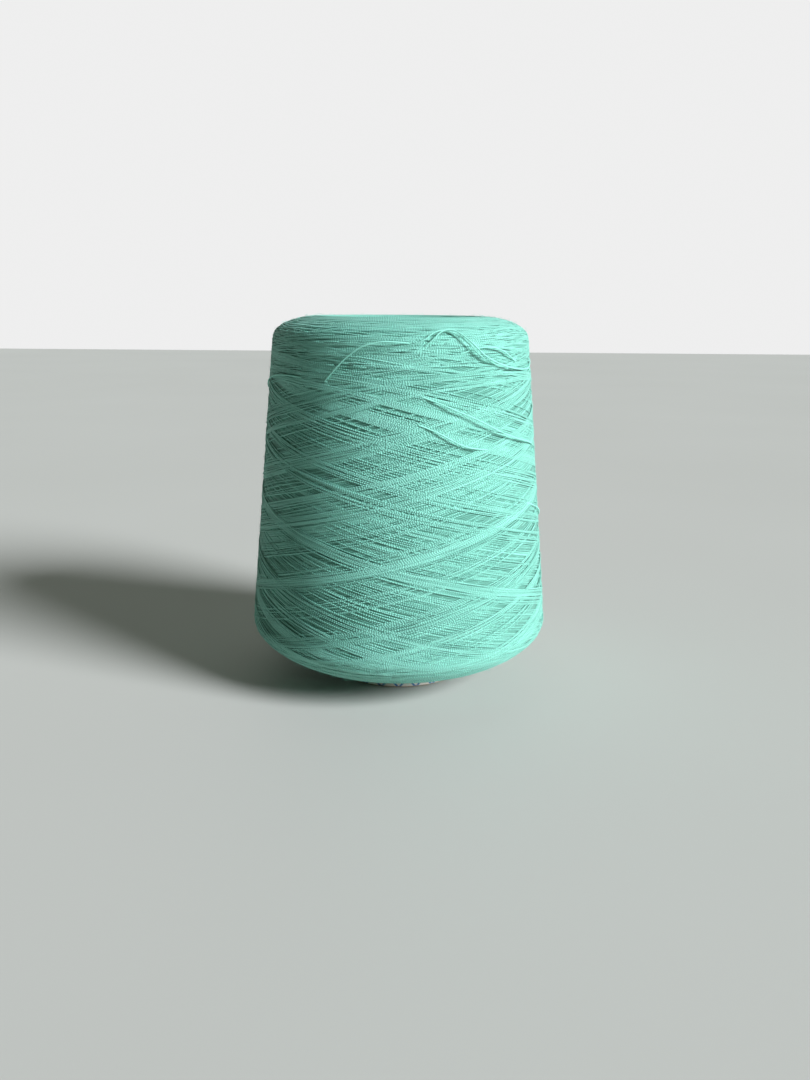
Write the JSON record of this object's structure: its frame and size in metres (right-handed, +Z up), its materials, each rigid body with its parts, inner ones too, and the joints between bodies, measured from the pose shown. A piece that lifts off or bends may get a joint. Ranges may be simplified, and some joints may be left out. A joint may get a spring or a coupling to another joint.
{
  "type": "cone of knitting yarn",
  "caption": "Cross-wound package of fine yarn on a tapered paper cone with a printed cover ply and a few slack strands, for feeding knitting machines.",
  "frame": {"origin": "centre of the paper cone's base rim, which stands on the table", "axes": "+Z up along the cone's axis, +X to the right, -Y towards the side with the slack strands"},
  "size_m": [0.1454, 0.1454, 0.172],
  "materials": {
    "kraft_board": "matte",
    "printed_paper": "matte",
    "yarn": "satin"
  },
  "bodies": {
    "root": {"cone_core": "kraft_board", "printed_cover": "printed_paper", "wound_yarn": "yarn", "slack_yarn_crown": "yarn", "slack_yarn_loop": "yarn", "slack_yarn_loop_twin": "yarn", "slack_yarn_bow": "yarn", "slack_yarn_side": "yarn", "slack_yarn_short": "yarn", "slack_yarn_left": "yarn", "slack_yarn_right": "yarn"}
  },
  "joints": []
}
